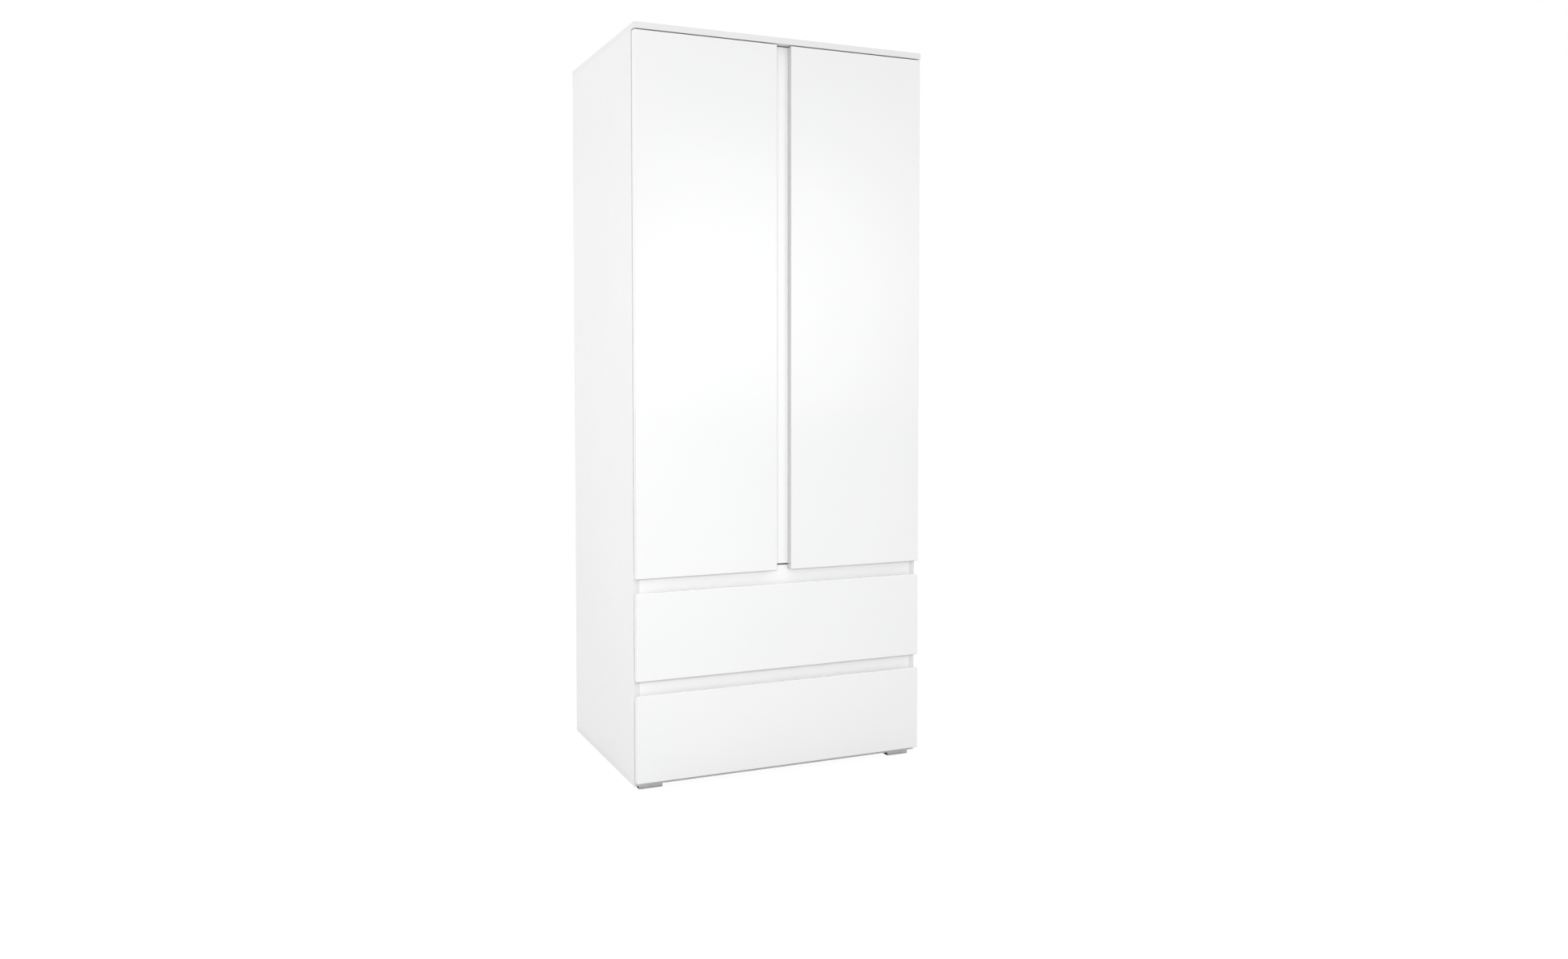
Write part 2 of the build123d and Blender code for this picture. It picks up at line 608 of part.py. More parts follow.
def drawer_runner(front_z):
    """The angle fixed under a drawer side: a running flange outside, a leg under the side."""
    z0 = runner_z(front_z)
    outer_x = INNER_X - RUNNER_GAP
    y0 = FRONT_BACK_Y + 1
    y1 = FRONT_BACK_Y + DRAWER_LENGTH
    leg_z = z0 + RUNNER_DROP
    flange_z = z0 + RUNNING_FLANGE_Z
    plate = block(outer_x, outer_x + RUNNER_SHEET, y0, y1, leg_z, flange_z + RUNNER_SHEET)
    flange = block(outer_x, INNER_X - ROLLER_NEAR, y0, y1, flange_z, flange_z + RUNNER_SHEET)
    leg = block(outer_x - 11, outer_x + RUNNER_SHEET, y0, y1, leg_z, leg_z + RUNNER_SHEET)
    y, z = rear_roller_axis(front_z)
    axle = rod(AXLE_RADIUS, (outer_x + RUNNER_SHEET, y, z), (INNER_X - ROLLER_NEAR, y, z))
    return plate + flange + leg + axle


def cabinet_runner_screws(front_z):
    """Screws through the cabinet runner's web into the side panel."""
    z = runner_z(front_z) + RUNNER_HEIGHT / 2 + 10
    return [screw(*RUNNER_SCREW, (INNER_X - RUNNER_SHEET, y, z), (INNER_X + SCREW_DEPTH, y, z))
            for y in RUNNER_SCREW_YS]


# Everything is made and written from here on

def write_carcass():
    bolts, cams, dowels = carcass_fasteners()
    nails = back_nails()
    pins = shelf_pins()
    feet = {f"foot_{'front' if front else 'back'}_{name}": (side, front)
            for name, side in SIDES.items() for front in (True, False)}
    foot_screws = [piece for side, front in feet.values() for piece in foot_screw_pair(side, front)]
    plate_screws = [mirrored(piece, side) for side in SIDES.values()
                    for z in HINGE_ZS for piece in hinge_plate_screws(z)]
    runner_screws = [mirrored(piece, side) for side in SIDES.values()
                     for front_z in (LOWER_FRONT_Z, UPPER_FRONT_Z)
                     for piece in cabinet_runner_screws(front_z)]
    socket_screws = [piece for side in SIDES.values() for piece in rail_socket_screws(side)]
    side_pockets = bolts + cams + dowels + nails + pins + plate_screws + runner_screws + socket_screws

    for name, side in SIDES.items():
        panel = cut(side_panel(), spare_pin_holes())
        write(f"side_panel_{name}", cut(mirrored(panel, side), side_pockets))
    write("top_panel", cut(top_panel(), bolts + dowels + nails))
    bottom = block(-HALF, HALF, CARCASS_Y, PANEL_REAR_Y, FOOT_HEIGHT, BASE_TOP)
    write("bottom_panel", cut(bottom, bolts + dowels + nails + foot_screws))
    write("divider_shelf", cut(divider_shelf(), bolts + cams + dowels))
    write("grip_rail_upper", cut(grip_rail(UPPER_FRONT_Z), dowels))
    write("grip_rail_lower", cut(grip_rail(LOWER_FRONT_Z), dowels))
    write("hat_shelf", hat_shelf())
    lower_back, upper_back, connector = back_panels()
    write("back_panel_lower", cut(lower_back, nails))
    write("back_panel_upper", cut(upper_back, nails))
    write("back_panel_connector", connector)
    write("shelf_pins", *pins)
    write("clothes_rail", clothes_rail())
    sockets = [cut(rail_socket(side), rail_socket_screws(side)) for side in SIDES.values()]
    write("clothes_rail_sockets", *sockets)
    for node_name, (side, front) in feet.items():
        write(node_name, cut(foot(side, front), foot_screw_pair(side, front)))
    write("foot_screws", *foot_screws)
    write("cam_bolts", *bolts)
    write("cam_locks", *cams)
    write("dowels", *dowels)
    write("back_nails", *nails)
    write("fitting_screws", *plate_screws, *socket_screws)
    write("runner_screws", *runner_screws)


def write_hinges_and_doors():
    plates = [cut(hinge_plate(z), hinge_plate_screws(z)) for z in HINGE_ZS]
    write("hinge_plates", *[mirrored(plate, side) for side in SIDES.values() for plate in plates])
    arms = [hinge_arm(z) - hinge_plate(z) for z in HINGE_ZS]
    write("hinge_arms", *[mirrored(arm, side) for side in SIDES.values() for arm in arms])
    for name, side in SIDES.items():
        write(f"hinge_links_{name}", *[mirrored(hinge_link(z), side) for z in HINGE_ZS])
        screws = [piece for z in HINGE_ZS for piece in cup_screws(z)]
        cups = [cut(hinge_cup(z), screws) for z in HINGE_ZS]
        write(f"hinge_cups_{name}", *[mirrored(cup, side) for cup in cups])
        write(f"hinge_cup_screws_{name}", *[mirrored(piece, side) for piece in screws])
        write(f"door_bumpers_{name}", *[mirrored(bumper, side) for bumper in door_bumpers()])
        cup_pockets = [rod(CUP_RADIUS, (CUP_X, FRONT_BACK_Y, z), (CUP_X, FRONT_BACK_Y - CUP_DEPTH, z))
                       for z in HINGE_ZS]
        strip_screws = door_strip_screws() if name == "right" else []
        panel = cut(door_panel(undercut=name == "left"), cup_pockets + screws + strip_screws)
        write(f"door_{name}", mirrored(panel, side))
    write("door_grip_strip", cut(door_strip(), door_strip_screws()))
    write("door_strip_screws", *door_strip_screws())


def write_drawer(name, front_z):
    fasteners = drawer_bolts_and_cams(front_z) + drawer_back_screws(front_z)
    base = drawer_base(front_z)
    write(f"drawer_front_{name}", cut(drawer_front(front_z), fasteners + [base]))
    for side_name, board in drawer_sides(front_z).items():
        write(f"drawer_side_{name}_{side_name}", cut(board, fasteners + [base]))
    write(f"drawer_back_{name}", cut(drawer_back(front_z), fasteners))
    write(f"drawer_base_{name}", base)
    write(f"drawer_fasteners_{name}", *fasteners)
    channel = cut(cabinet_runner(front_z), cabinet_runner_screws(front_z))
    write(f"cabinet_runners_{name}", *[mirrored(channel, side) for side in SIDES.values()])
    write(f"drawer_runners_{name}", *[mirrored(drawer_runner(front_z), side) for side in SIDES.values()])
    front_axis = front_roller_axis(front_z)
    rear_axis = rear_roller_axis(front_z)
    write(f"front_rollers_{name}", *[mirrored(roller(*front_axis), side) for side in SIDES.values()])
    write(f"rear_rollers_{name}", *[mirrored(roller(*rear_axis), side) for side in SIDES.values()])


write_carcass()
write_hinges_and_doors()
write_drawer("upper", UPPER_FRONT_Z)
write_drawer("lower", LOWER_FRONT_Z)
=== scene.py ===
import json
import math

import bmesh
import bpy
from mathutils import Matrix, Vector


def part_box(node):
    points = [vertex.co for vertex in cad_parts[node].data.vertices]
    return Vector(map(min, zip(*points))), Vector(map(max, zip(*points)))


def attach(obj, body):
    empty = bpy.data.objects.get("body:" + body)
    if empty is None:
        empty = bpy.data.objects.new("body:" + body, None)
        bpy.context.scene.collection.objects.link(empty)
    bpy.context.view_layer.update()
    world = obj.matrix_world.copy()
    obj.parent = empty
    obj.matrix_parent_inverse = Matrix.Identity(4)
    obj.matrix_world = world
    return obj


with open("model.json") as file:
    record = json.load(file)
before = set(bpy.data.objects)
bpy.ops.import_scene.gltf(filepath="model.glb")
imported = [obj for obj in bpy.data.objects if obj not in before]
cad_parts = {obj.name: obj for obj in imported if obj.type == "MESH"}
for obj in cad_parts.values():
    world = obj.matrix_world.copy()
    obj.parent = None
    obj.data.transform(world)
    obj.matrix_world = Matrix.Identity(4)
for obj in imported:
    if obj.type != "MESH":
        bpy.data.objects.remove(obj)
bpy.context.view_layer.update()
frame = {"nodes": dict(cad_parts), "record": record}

# A two-door wardrobe with two drawers. Metres, in the CAD frame: +Z up, fronts face -Y.

NODES = frame["nodes"]

# Camera: horizontal angle and tilt in degrees, lens in millimetres on a 36 mm sensor
CAMERA_PLACE = (-1.3854, -3.4299, 1.0815)
CAMERA_TURN = 23.87
CAMERA_TILT = -2.35
CAMERA_LENS = 29.67
CAMERA_SHIFT = -0.036

# Light
WORLD_LEVEL = 0.955
ZENITH_GAIN = 0.6
POOL_POWER = 9
PANEL_LEVEL = 0.95
LEFT_POWER = 15
FLOOR_SIZE = 30
FLOOR_SHADOW = 0.12
FLOOR_SEEN = 1.09

# Where each light stands, what it points at, and its width and height
FRONT_PANEL = ((2.08, -5.0, 1.75), (0, -0.3, 1.3), (3.4, 3.0))
POOL_SOFTBOX = ((-0.85, -1.95, 0.98), (-0.1, -0.3, 1.0), (0.35, 0.35))
LEFT_SOFTBOX = ((-3.0, 0.45, 1.3), (-0.41, 0, 1.0), (1.3, 2.0))

# Width of the rounding on the sharp edges of each slot's nodes
EDGE_ROUNDING = {"gloss_front": 0.0004, "grip_strip": 0.0006, "white_board": 0.0006, "foot_metal": 0.0004}
ROUNDED_ABOVE_DEGREES = 50

# Outlines of the small spun pieces, as (radius, height) pairs
CAP_PROFILE = (
    (0, -0.0002), (0.0088, -0.0002), (0.0088, 0.0004), (0.0082, 0.0010),
    (0.0040, 0.0014), (0.0012, 0.0014), (0.0008, 0.0011), (0, 0.0010),
)
SCREW_CUP_PROFILE = (
    (0.0031, 0.0), (0.0033, 0.0004), (0.0041, 0.0004), (0.0044, 0.0), (0.0031, 0.0),
)
ARM_SCREW_PROFILE = (
    (0, -0.0002), (0.0029, -0.0002), (0.0029, 0.0001), (0.0024, 0.0006),
    (0.0012, 0.0008), (0.0009, 0.0002), (0, 0.0002),
)
SOCKET_SCREW_OFFSET = 0.019
SOCKET_FLANGE = 0.0030
MERGE_DISTANCE = 0.00001
SHARP_ABOVE_DEGREES = 35


# Node helpers

def new_material(name):
    """A material with nodes, its node tree and its main shader."""
    material = bpy.data.materials.new(name)
    material.use_nodes = True
    tree = material.node_tree
    return material, tree, tree.nodes["Principled BSDF"]


def add_node(tree, kind, **settings):
    """A shader node with its properties set, and its inputs set where the name is an input's."""
    node = tree.nodes.new(kind)
    for key, value in settings.items():
        if hasattr(node, key):
            setattr(node, key, value)
        else:
            node.inputs[key.replace("_", " ").capitalize()].default_value = value
    return node


def object_coordinates(tree, scale=(1, 1, 1)):
    """Object coordinates, in metres, scaled along each axis."""
    coordinates = add_node(tree, "ShaderNodeTexCoord")
    mapping = add_node(tree, "ShaderNodeMapping")
    mapping.inputs["Scale"].default_value = scale
    tree.links.new(coordinates.outputs["Object"], mapping.inputs["Vector"])
    return mapping.outputs["Vector"]


def noise(tree, vector, scale, detail=3, roughness=0.5):
    """Noise over the given coordinates."""
    node = add_node(tree, "ShaderNodeTexNoise")
    node.inputs["Scale"].default_value = scale
    node.inputs["Detail"].default_value = detail
    node.inputs["Roughness"].default_value = roughness
    tree.links.new(vector, node.inputs["Vector"])
    return node.outputs["Fac"]


def spread(tree, value, low, high, start=0.3, end=0.7):
    """Map a noise value from start..end to low..high."""
    node = add_node(tree, "ShaderNodeMapRange")
    node.inputs["From Min"].default_value = start
    node.inputs["From Max"].default_value = end
    node.inputs["To Min"].default_value = low
    node.inputs["To Max"].default_value = high
    tree.links.new(value, node.inputs["Value"])
    return node.outputs["Result"]


def blend_colours(tree, factor, first, second):
    """Mix two colours, each a tuple or a socket, by a factor socket."""
    mix = add_node(tree, "ShaderNodeMix", data_type="RGBA")
    tree.links.new(factor, mix.inputs["Factor"])
    for colour, socket in ((first, mix.inputs["A"]), (second, mix.inputs["B"])):
        place = [s for s in mix.inputs if s.name == socket.name and s.type == "RGBA"][0]
        if isinstance(colour, tuple):
            place.default_value = (*colour, 1)
        else:
            tree.links.new(colour, place)
    return [s for s in mix.outputs if s.type == "RGBA"][0]


def add_bump(tree, shader, height, strength, distance):
    """Bump from a height socket, laid over any bump that is already there."""
    bump = add_node(tree, "ShaderNodeBump")
    bump.inputs["Strength"].default_value = strength
    bump.inputs["Distance"].default_value = distance
    tree.links.new(height, bump.inputs["Height"])
    if shader.inputs["Normal"].links:
        tree.links.new(shader.inputs["Normal"].links[0].from_socket, bump.inputs["Normal"])
    tree.links.new(bump.outputs["Normal"], shader.inputs["Normal"])


def facing(tree, axis, limit=0.5):
    """1 where the surface faces along +axis (0 x, 1 y, 2 z), or with a negative limit along -axis."""
    coordinates = add_node(tree, "ShaderNodeTexCoord")
    parts = add_node(tree, "ShaderNodeSeparateXYZ")
    tree.links.new(coordinates.outputs["Normal"], parts.inputs["Vector"])
    step = add_node(tree, "ShaderNodeMath", operation="GREATER_THAN" if limit > 0 else "LESS_THAN")
    step.inputs[1].default_value = limit
    tree.links.new(parts.outputs[axis], step.inputs[0])
    return step.outputs["Value"]


# Materials

def gloss_white(name, left_shade_tone=1.0):
    """High-gloss white foil with faint smudges, painted shade on its downward-facing edges, and painted
    shade of the given strength on its left-facing edges.
    """
    material, tree, shader = new_material(name)
    place = object_coordinates(tree)
    shade = spread(tree, noise(tree, place, 1.6), 0.0, 1.0)
    colour = blend_colours(tree, shade, (0.797, 0.800, 0.803), (0.815, 0.815, 0.815))
    # Painted shade: faces turned downwards, such as the rounded lower edges of the doors and drawer
    # fronts, are darkened to 0.48 to stand in for the shadow line beneath them.
    painted_shade_under_edge = blend_colours(tree, facing(tree, 2, -0.35), colour, (0.48, 0.48, 0.48))
    # Painted shade on the left-facing faces: their colour is 0.81 times the given tone, so a tone below 1
    # darkens them like the shade inside a recess.
    left_shade_colour = tuple(left_shade_tone * part for part in (0.81, 0.81, 0.81))
    painted_shade_left_edge = blend_colours(tree, facing(tree, 0, -0.5), painted_shade_under_edge, left_shade_colour)
    tree.links.new(painted_shade_left_edge, shader.inputs["Base Color"])
    smudges = spread(tree, noise(tree, place, 9, 6, 0.65), 0.07, 0.14, 0.45, 0.75)
    tree.links.new(smudges, shader.inputs["Roughness"])
    shader.inputs["Coat Weight"].default_value = 0.5
    shader.inputs["Coat Roughness"].default_value = 0.04
    add_bump(tree, shader, noise(tree, place, 28, 2), 0.03, 0.002)
    add_bump(tree, shader, noise(tree, place, 420, 2), 0.015, 0.0004)
    return material


def white_melamine(name, colour, texture_scale=900, edge_tone=1.0, coat=0.0):
    """White melamine with a fine pearl texture. Its narrow edges may have a darker edge band."""
    material, tree, shader = new_material(name)
    place = object_coordinates(tree)
    shade = spread(tree, noise(tree, place, 2.2, 4), 0.0, 1.0)
    dim = tuple(0.975 * part for part in colour)
    face_colour = blend_colours(tree, shade, dim, colour)
    if edge_tone < 1:
        band = tuple(edge_tone * part for part in colour)
        for side in (facing(tree, 0), facing(tree, 0, -0.5), facing(tree, 1, -0.5)):
            face_colour = blend_colours(tree, side, face_colour, band)
    tree.links.new(face_colour, shader.inputs["Base Color"])
    shader.inputs["Coat Weight"].default_value = coat
    shader.inputs["Coat Roughness"].default_value = 0.12
    rough = spread(tree, noise(tree, place, 40, 4), 0.36, 0.46)
    tree.links.new(rough, shader.inputs["Roughness"])
    add_bump(tree, shader, noise(tree, place, texture_scale, 2, 0.6), 0.10, 0.0004)
    add_bump(tree, shader, noise(tree, place, 12, 2), 0.02, 0.002)
    return material


def hardboard():
    """Thin hardboard: painted white inside, brown pressed fibre on its rear face."""
    material, tree, shader = new_material("hardboard")
    place = object_coordinates(tree)
    fibres = noise(tree, object_coordinates(tree, (1, 1, 0.35)), 320, 8, 0.75)
    blotches = noise(tree, place, 9, 6, 0.6)
    brown = blend_colours(tree, spread(tree, fibres, 0, 1), (0.22, 0.135, 0.075), (0.44, 0.30, 0.18))
    brown = blend_colours(tree, spread(tree, blotches, 0, 0.5), brown, (0.29, 0.185, 0.105))
    rear = facing(tree, 1)
    tree.links.new(blend_colours(tree, rear, (0.84, 0.84, 0.83), brown), shader.inputs["Base Color"])
    shader.inputs["Roughness"].default_value = 0.62
    add_bump(tree, shader, fibres, 0.25, 0.0005)
    return material


def silver_faced_foot():
    """A dark plastic foot whose front and rear faces carry a brushed silver plate."""
    material, tree, shader = new_material("foot_metal")
    lines = noise(tree, object_coordinates(tree, (30, 900, 900)), 1, 4, 0.6)
    silver = blend_colours(tree, spread(tree, lines, 0, 1), (0.72, 0.73, 0.74), (0.92, 0.93, 0.94))
    skin = noise(tree, object_coordinates(tree), 1500, 3)
    plastic = blend_colours(tree, spread(tree, skin, 0, 1), (0.045, 0.045, 0.047), (0.065, 0.065, 0.067))
    plated = add_node(tree, "ShaderNodeMath", operation="MAXIMUM")
    tree.links.new(facing(tree, 1), plated.inputs[0])
    tree.links.new(facing(tree, 1, -0.5), plated.inputs[1])
    colour = blend_colours(tree, plated.outputs["Value"], plastic, silver)
    tree.links.new(colour, shader.inputs["Base Color"])
    tree.links.new(plated.outputs["Value"], shader.inputs["Metallic"])
    tree.links.new(spread(tree, lines, 0.24, 0.4), shader.inputs["Roughness"])
    add_bump(tree, shader, lines, 0.06, 0.0003)
    return material


def plated_metal(name, colour, roughness):
    """Plated pressed steel with faint handling marks."""
    material, tree, shader = new_material(name)
    place = object_coordinates(tree)
    marks = noise(tree, place, 260, 5, 0.6)
    dim = tuple(0.92 * part for part in colour)
    worn = blend_colours(tree, spread(tree, marks, 0, 1), dim, colour)
    tree.links.new(worn, shader.inputs["Base Color"])
    tree.links.new(spread(tree, marks, roughness, roughness + 0.12), shader.inputs["Roughness"])
    shader.inputs["Metallic"].default_value = 1
    add_bump(tree, shader, marks, 0.04, 0.0003)
    return material


def powder_coat():
    """White powder coat with its fine bumpy skin."""
    material, tree, shader = new_material("powder_coat")
    place = object_coordinates(tree)
    skin = noise(tree, place, 1400, 2)
    shade = spread(tree, noise(tree, place, 6), 0, 1)
    colour = blend_colours(tree, shade, (0.80, 0.80, 0.79), (0.85, 0.85, 0.84))
    tree.links.new(colour, shader.inputs["Base Color"])
    shader.inputs["Roughness"].default_value = 0.38
    add_bump(tree, shader, skin, 0.22, 0.0003)
    return material


def moulded_plastic(name, colour, roughness):
    """Moulded plastic with a light spark-eroded texture."""
    material, tree, shader = new_material(name)
    place = object_coordinates(tree)
    skin = noise(tree, place, 1800, 3)
    dim = tuple(0.93 * part for part in colour)
    shade = spread(tree, noise(tree, place, 30), 0, 1)
    tree.links.new(blend_colours(tree, shade, dim, colour), shader.inputs["Base Color"])
    tree.links.new(spread(tree, skin, roughness, roughness + 0.1), shader.inputs["Roughness"])
    add_bump(tree, shader, skin, 0.15, 0.0002)
    return material


def beech():
    """Raw beech with its short flecks."""
    material, tree, shader = new_material("beech")
    grain = noise(tree, object_coordinates(tree, (900, 900, 90)), 1, 5, 0.6)
    colour = blend_colours(tree, spread(tree, grain, 0, 1), (0.55, 0.38, 0.22), (0.72, 0.55, 0.36))
    tree.links.new(colour, shader.inputs["Base Color"])
    shader.inputs["Roughness"].default_value = 0.6
    add_bump(tree, shader, grain, 0.2, 0.0003)
    return material


def studio_white(tree, lit, seen_level):
    """Show a plain white to the camera and let every other ray meet the lit shader."""
    path = add_node(tree, "ShaderNodeLightPath")
    seen = add_node(tree, "ShaderNodeEmission")
    seen.inputs["Strength"].default_value = seen_level
    mix = add_node(tree, "ShaderNodeMixShader")
    tree.links.new(path.outputs["Is Camera Ray"], mix.inputs["Fac"])
    tree.links.new(lit, mix.inputs[1])
    tree.links.new(seen.outputs["Emission"], mix.inputs[2])
    return mix.outputs["Shader"]


def floor_paint():
    """A plain pale floor. The camera sees it nearly white, with a trace of the contact shadow."""
    material, tree, shader = new_material("floor_paint")
    place = object_coordinates(tree)
    shade = spread(tree, noise(tree, place, 0.8), 0, 1)
    colour = blend_colours(tree, shade, (0.60, 0.60, 0.60), (0.64, 0.64, 0.64))
    tree.links.new(colour, shader.inputs["Base Color"])
    shader.inputs["Roughness"].default_value = 0.8
    shader.inputs["Specular IOR Level"].default_value = 0.2
    white = studio_white(tree, shader.outputs["BSDF"], FLOOR_SEEN)
    trace = add_node(tree, "ShaderNodeMixShader")
    trace.inputs["Fac"].default_value = FLOOR_SHADOW
    tree.links.new(white, trace.inputs[1])
    tree.links.new(shader.outputs["BSDF"], trace.inputs[2])
    tree.links.new(trace.outputs["Shader"], tree.nodes["Material Output"].inputs["Surface"])
    return material


SLOT_MATERIALS = {
    "gloss_front": gloss_white("gloss_white"),
    "grip_strip": white_melamine("strip_foil", (0.955, 0.955, 0.955), 1600, coat=0.8),
    "white_board": white_melamine("white_melamine", (0.785, 0.785, 0.785)),
    "hardboard": hardboard(),
    "white_plastic": moulded_plastic("white_plastic", (0.82, 0.82, 0.82), 0.45),
    "foot_metal": silver_faced_foot(),
    "chrome_rail": plated_metal("chrome", (0.80, 0.80, 0.81), 0.08),
    "nickel": plated_metal("nickel", (0.66, 0.65, 0.62), 0.18),
    "white_steel": powder_coat(),
    "nylon": moulded_plastic("nylon", (0.80, 0.80, 0.76), 0.4),
    "beech": beech(),
    "soft_bumper": moulded_plastic("soft_bumper", (0.74, 0.75, 0.75), 0.25),
    "zinc": plated_metal("zinc", (0.60, 0.60, 0.62), 0.3),
}


BANDED_BOARD = white_melamine("banded_melamine", (0.785, 0.785, 0.785), edge_tone=0.955)
OWN_MATERIALS = {
    "top_panel": BANDED_BOARD,
    "bottom_panel": BANDED_BOARD,
    # The right door's left-facing inner edge, deep in the grip recess, gets painted shade at a tone of
    # 0.8.
    "door_right": gloss_white("shaded_edge_gloss_white", left_shade_tone=0.8),
}


def dress_cad_nodes():
    """Give each CAD node its slot's material and a small rounding of its sharp edges."""
    for part in frame["record"]["subparts"]:
        node = NODES[part["node"]]
        slot = part["material_slot"]
        node.data.materials.clear()
        node.data.materials.append(OWN_MATERIALS.get(part["node"], SLOT_MATERIALS[slot]))
        if slot in EDGE_ROUNDING:
            bevel = node.modifiers.new("edge_rounding", "BEVEL")
            bevel.width = EDGE_ROUNDING[slot]
            bevel.segments = 2
            bevel.limit_method = "ANGLE"
            bevel.angle_limit = math.radians(ROUNDED_ABOVE_DEGREES)
            bevel.harden_normals = False


# Small pieces on the CAD parts

def spun_profile(build, profile, axis, place, segments=24):
    """Spin a profile of (radius, height) pairs about an axis at a place, into the mesh being built."""
    turn = Vector(axis).to_track_quat("Z", "Y")
    rings = []
    for radius, height in profile:
        if radius == 0:
            rings.append([build.verts.new(turn @ Vector((0, 0, height)) + Vector(place))])
            continue
        ring = []
        for i in range(segments):
            angle = 2 * math.pi * i / segments
            point = Vector((radius * math.cos(angle), radius * math.sin(angle), height))
            ring.append(build.verts.new(turn @ point + Vector(place)))
        rings.append(ring)
    for lower, upper in zip(rings, rings[1:]):
        for i in range(segments):
            corners = [lower[i % len(lower)], lower[(i + 1) % len(lower)],
                       upper[(i + 1) % len(upper)], upper[i % len(upper)]]
            build.faces.new(list(dict.fromkeys(corners)))


def add_piece(name, build, body, slot):
    """Finish a mesh, give it its slot's material and let it ride on a body."""
    bmesh.ops.remove_doubles(build, verts=build.verts, dist=MERGE_DISTANCE)
    bmesh.ops.recalc_face_normals(build, faces=build.faces)
    mesh = bpy.data.meshes.new(name)
    build.to_mesh(mesh)
    build.free()
    mesh.materials.append(SLOT_MATERIALS[slot])
    mesh.shade_smooth()
    mesh.set_sharp_from_angle(angle=math.radians(SHARP_ABOVE_DEGREES))
    piece = bpy.data.objects.new(name, mesh)
    bpy.context.scene.collection.objects.link(piece)
    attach(piece, body)


def solid_boxes(node):
    """The lowest and highest corners of each separate solid in a CAD node, in order of place."""
    build = bmesh.new()
    build.from_mesh(NODES[node].data)
    bmesh.ops.remove_doubles(build, verts=build.verts, dist=MERGE_DISTANCE)
    left = set(build.verts)
    boxes = []
    while left:
        group = {left.pop()}
        newest = set(group)
        while newest:
            newest = {edge.other_vert(vert) for vert in newest for edge in vert.link_edges} & left
            left -= newest
            group |= newest
        corners = [[pick(vert.co[axis] for vert in group) for axis in range(3)] for pick in (min, max)]
        boxes.append((Vector(corners[0]), Vector(corners[1])))
    build.free()
    return sorted(boxes, key=lambda box: (*box[0], *box[1]))


def make_cam_caps():
    """White cover caps over the cam locks, on the inner faces of the sides and under the shelf."""
    build = bmesh.new()
    side_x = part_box("side_panel_right")[0][0]
    shelf_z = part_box("divider_shelf")[0][2]
    for low, high in solid_boxes("cam_locks"):
        middle = (low + high) / 2
        if high.x > side_x or low.x < -side_x:
            side = 1 if middle.x > 0 else -1
            spun_profile(build, CAP_PROFILE, (-side, 0, 0), (side * side_x, middle.y, middle.z))
        else:
            spun_profile(build, CAP_PROFILE, (0, 0, -1), (middle.x, middle.y, shelf_z))
    add_piece("cam_cover_caps", build, "carcass", "white_plastic")


def make_socket_screw_cups():
    """Finishing cups round the screws that hold the clothes rail's sockets."""
    low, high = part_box("clothes_rail_sockets")
    middle_z = (low[2] + high[2]) / 2
    build = bmesh.new()
    for side in (-1, 1):
        for offset in (-SOCKET_SCREW_OFFSET, SOCKET_SCREW_OFFSET):
            place = (side * (high[0] - SOCKET_FLANGE), 0, middle_z + offset)
            spun_profile(build, SCREW_CUP_PROFILE, (-side, 0, 0), place)
    add_piece("socket_screw_cups", build, "carcass", "nickel")


def make_arm_screws():
    """Domed adjusting screws on the hinge arms, each with a driver socket in its head."""
    low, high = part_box("hinge_plates")
    middle_y = (low[1] + high[1]) / 2
    build = bmesh.new()
    for arm_low, arm_high in solid_boxes("hinge_arms"):
        side = 1 if arm_low.x > 0 else -1
        face_x = arm_low.x if side > 0 else arm_high.x
        middle_z = (arm_low.z + arm_high.z) / 2
        spun_profile(build, ARM_SCREW_PROFILE, (-side, 0, 0), (face_x, middle_y, middle_z))
    add_piece("hinge_adjusting_screws", build, "carcass", "zinc")


# Stage

def make_camera():
    camera = bpy.data.cameras.new("camera")
    camera.lens = CAMERA_LENS
    camera.sensor_width = 36
    camera.shift_y = CAMERA_SHIFT
    camera.clip_end = 100
    holder = bpy.data.objects.new("camera", camera)
    holder.location = CAMERA_PLACE
    holder.rotation_euler = (math.radians(90 + CAMERA_TILT), 0, math.radians(-CAMERA_TURN))
    bpy.context.scene.collection.objects.link(holder)
    bpy.context.scene.camera = holder


def make_floor():
    mesh = bpy.data.meshes.new("floor")
    build = bmesh.new()
    bmesh.ops.create_grid(build, x_segments=8, y_segments=8, size=FLOOR_SIZE)
    build.to_mesh(mesh)
    build.free()
    mesh.materials.append(floor_paint())
    floor = bpy.data.objects.new("floor", mesh)
    bpy.context.scene.collection.objects.link(floor)


def aim(holder, place, target):
    """Put an object at a place with its -Z axis towards a target."""
    holder.location = place
    holder.rotation_euler = (Vector(target) - Vector(place)).to_track_quat("-Z", "Y").to_euler()
    bpy.context.scene.collection.objects.link(holder)


def add_area_light(name, place, target, size, power):
    """A soft oval light that points at a target, kept out of the picture and out of reflections."""
    light = bpy.data.lights.new(name, "AREA")
    light.shape = "ELLIPSE"
    light.size, light.size_y = size
    light.energy = power
    holder = bpy.data.objects.new(name, light)
    holder.visible_camera = False
    holder.visible_glossy = False
    aim(holder, place, target)


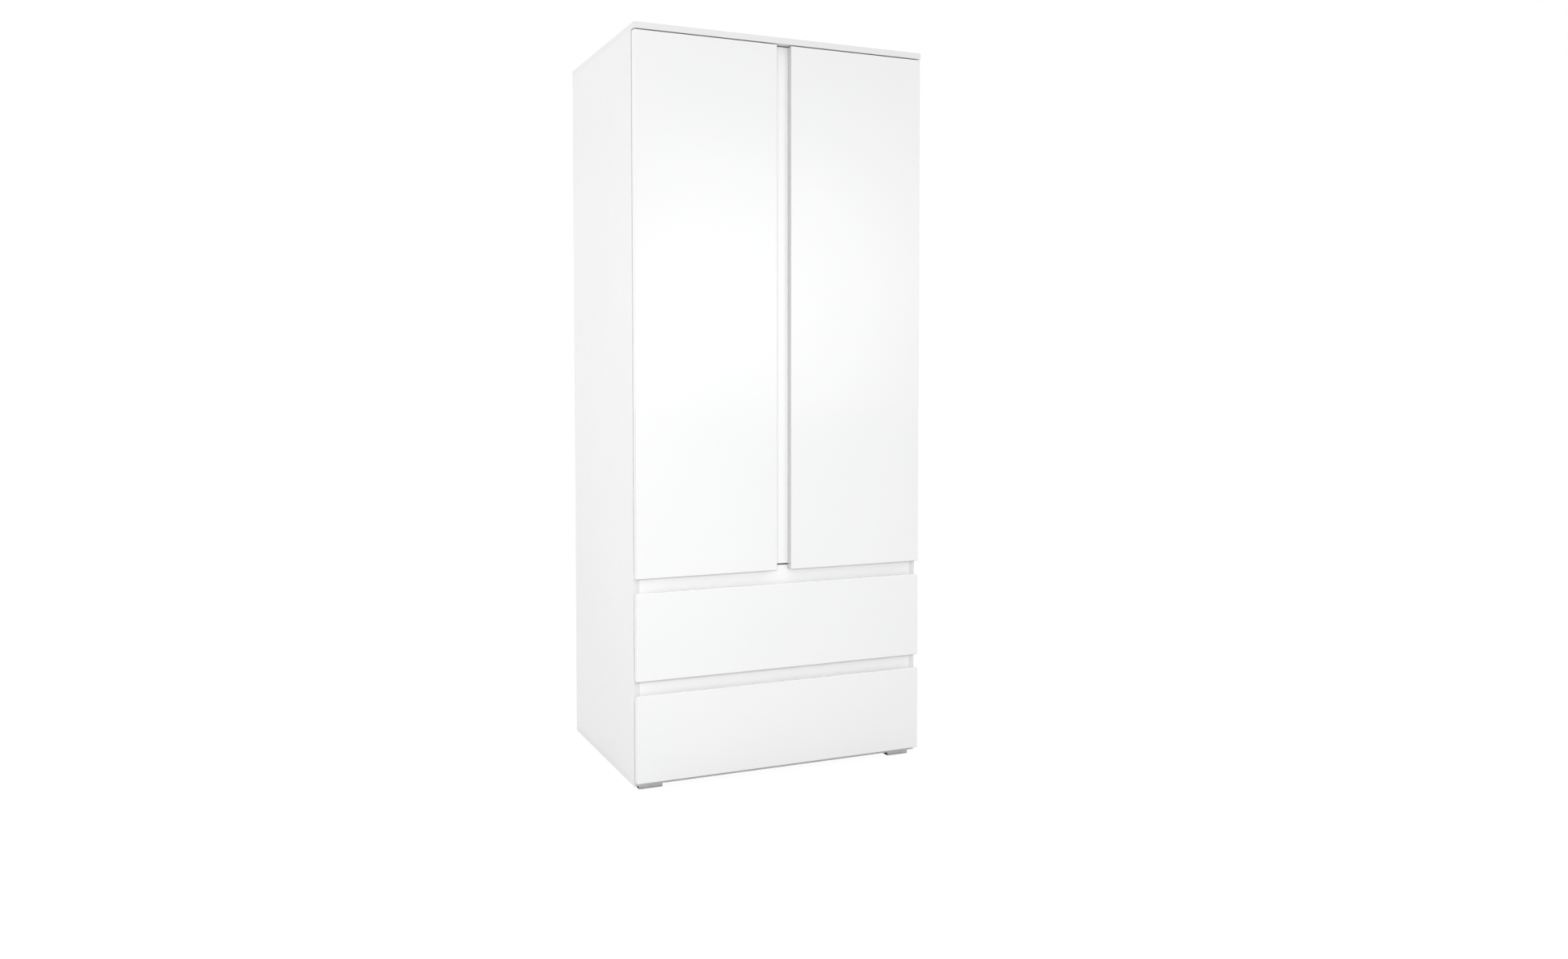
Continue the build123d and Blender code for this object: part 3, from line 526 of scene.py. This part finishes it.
def add_soft_panel(name, place, target, size, level):
    """A large glowing panel that fades out towards its rim, so its reflection has no edge."""
    material = bpy.data.materials.new(name)
    material.use_nodes = True
    tree = material.node_tree
    tree.nodes.remove(tree.nodes["Principled BSDF"])
    coordinates = add_node(tree, "ShaderNodeTexCoord")
    falloff = add_node(tree, "ShaderNodeTexGradient", gradient_type="SPHERICAL")
    glow = add_node(tree, "ShaderNodeEmission")
    smooth = add_node(tree, "ShaderNodeMapRange", interpolation_type="SMOOTHERSTEP")
    smooth.inputs["To Max"].default_value = level
    tree.links.new(coordinates.outputs["Object"], falloff.inputs["Vector"])
    tree.links.new(falloff.outputs["Fac"], smooth.inputs["Value"])
    tree.links.new(smooth.outputs["Result"], glow.inputs["Strength"])
    see_through = add_node(tree, "ShaderNodeBsdfTransparent")
    both = add_node(tree, "ShaderNodeAddShader")
    tree.links.new(glow.outputs["Emission"], both.inputs[0])
    tree.links.new(see_through.outputs["BSDF"], both.inputs[1])
    tree.links.new(both.outputs["Shader"], tree.nodes["Material Output"].inputs["Surface"])
    mesh = bpy.data.meshes.new(name)
    build = bmesh.new()
    bmesh.ops.create_circle(build, cap_ends=True, segments=64, radius=1)
    build.to_mesh(mesh)
    build.free()
    mesh.materials.append(material)
    panel = bpy.data.objects.new(name, mesh)
    panel.scale = (size[0] / 2, size[1] / 2, 1)
    aim(panel, place, target)


def sky_level(tree):
    """The strength of the surrounding light: even all round, and rising towards the zenith."""
    direction = add_node(tree, "ShaderNodeTexCoord")
    parts = add_node(tree, "ShaderNodeSeparateXYZ")
    tree.links.new(direction.outputs["Generated"], parts.inputs["Vector"])
    upward = add_node(tree, "ShaderNodeMath", operation="MAXIMUM")
    upward.inputs[1].default_value = 0
    cubed = add_node(tree, "ShaderNodeMath", operation="POWER")
    cubed.inputs[1].default_value = 3
    level = add_node(tree, "ShaderNodeMath", operation="MULTIPLY_ADD")
    level.inputs[1].default_value = WORLD_LEVEL * ZENITH_GAIN
    level.inputs[2].default_value = WORLD_LEVEL
    tree.links.new(parts.outputs["Z"], upward.inputs[0])
    tree.links.new(upward.outputs["Value"], cubed.inputs[0])
    tree.links.new(cubed.outputs["Value"], level.inputs[0])
    return level.outputs["Value"]


def make_lights():
    world = bpy.data.worlds.new("studio")
    world.use_nodes = True
    tree = world.node_tree
    background = tree.nodes["Background"]
    background.inputs["Color"].default_value = (1, 1, 1, 1)
    tree.links.new(sky_level(tree), background.inputs["Strength"])
    seen = studio_white(tree, background.outputs["Background"], 1.0)
    tree.links.new(seen, tree.nodes["World Output"].inputs["Surface"])
    bpy.context.scene.world = world
    add_soft_panel("front_panel", *FRONT_PANEL, PANEL_LEVEL)
    add_area_light("pool_softbox", *POOL_SOFTBOX, POOL_POWER)
    add_area_light("left_softbox", *LEFT_SOFTBOX, LEFT_POWER)


bpy.context.scene.view_settings.view_transform = "Standard"
make_camera()
make_floor()
make_lights()
dress_cad_nodes()
make_cam_caps()
make_socket_screw_cups()
make_arm_screws()
